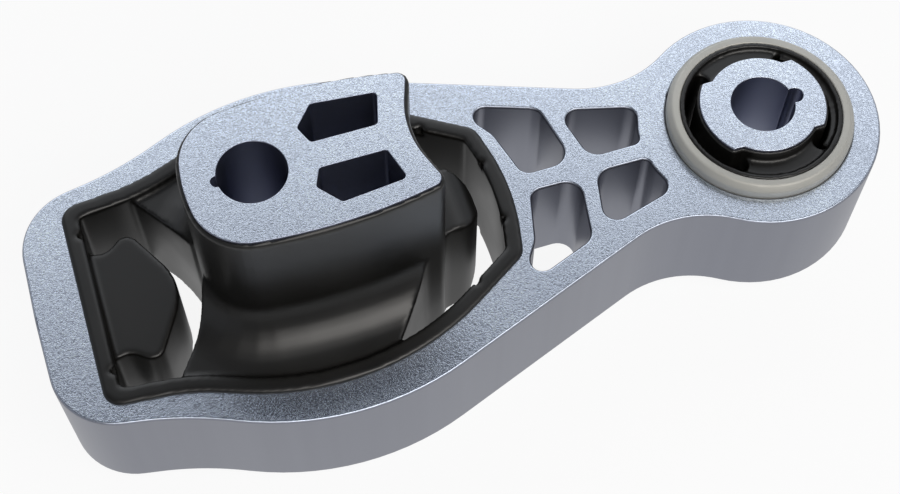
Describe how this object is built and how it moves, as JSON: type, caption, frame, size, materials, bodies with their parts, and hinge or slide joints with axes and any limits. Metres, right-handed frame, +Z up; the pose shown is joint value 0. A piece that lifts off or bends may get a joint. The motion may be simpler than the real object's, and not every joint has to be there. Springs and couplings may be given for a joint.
{
  "type": "transmission mount",
  "caption": "Link-type transmission mount: extruded aluminium link with a large voided rubber bush at one end and a small sleeved rubber bush at the other.",
  "frame": {"origin": "on the large bolt axis, at the lower seating face of the large core", "axes": "+X along the link from the large bush to the small bush, +Y across the link, +Z up the bolt axes towards the tall end of the large core"},
  "size_m": [0.1691, 0.0722, 0.06],
  "materials": {
    "extruded_aluminium": "sawn extrusion, bead-blasted grain on the faces, smooth satin sides",
    "core_aluminium": "sawn and blasted end faces, drawn satin bores",
    "sleeve_aluminium": "plain turned, satin, slightly warm grey",
    "large_rubber": "moulded, satin black",
    "small_rubber": "moulded, satin black"
  },
  "bodies": {
    "root": {"housing": "extruded_aluminium", "large_bush_rubber": "large_rubber", "large_core": "core_aluminium", "small_sleeve": "sleeve_aluminium", "small_bush_rubber": "small_rubber", "small_core": "core_aluminium"}
  },
  "joints": []
}
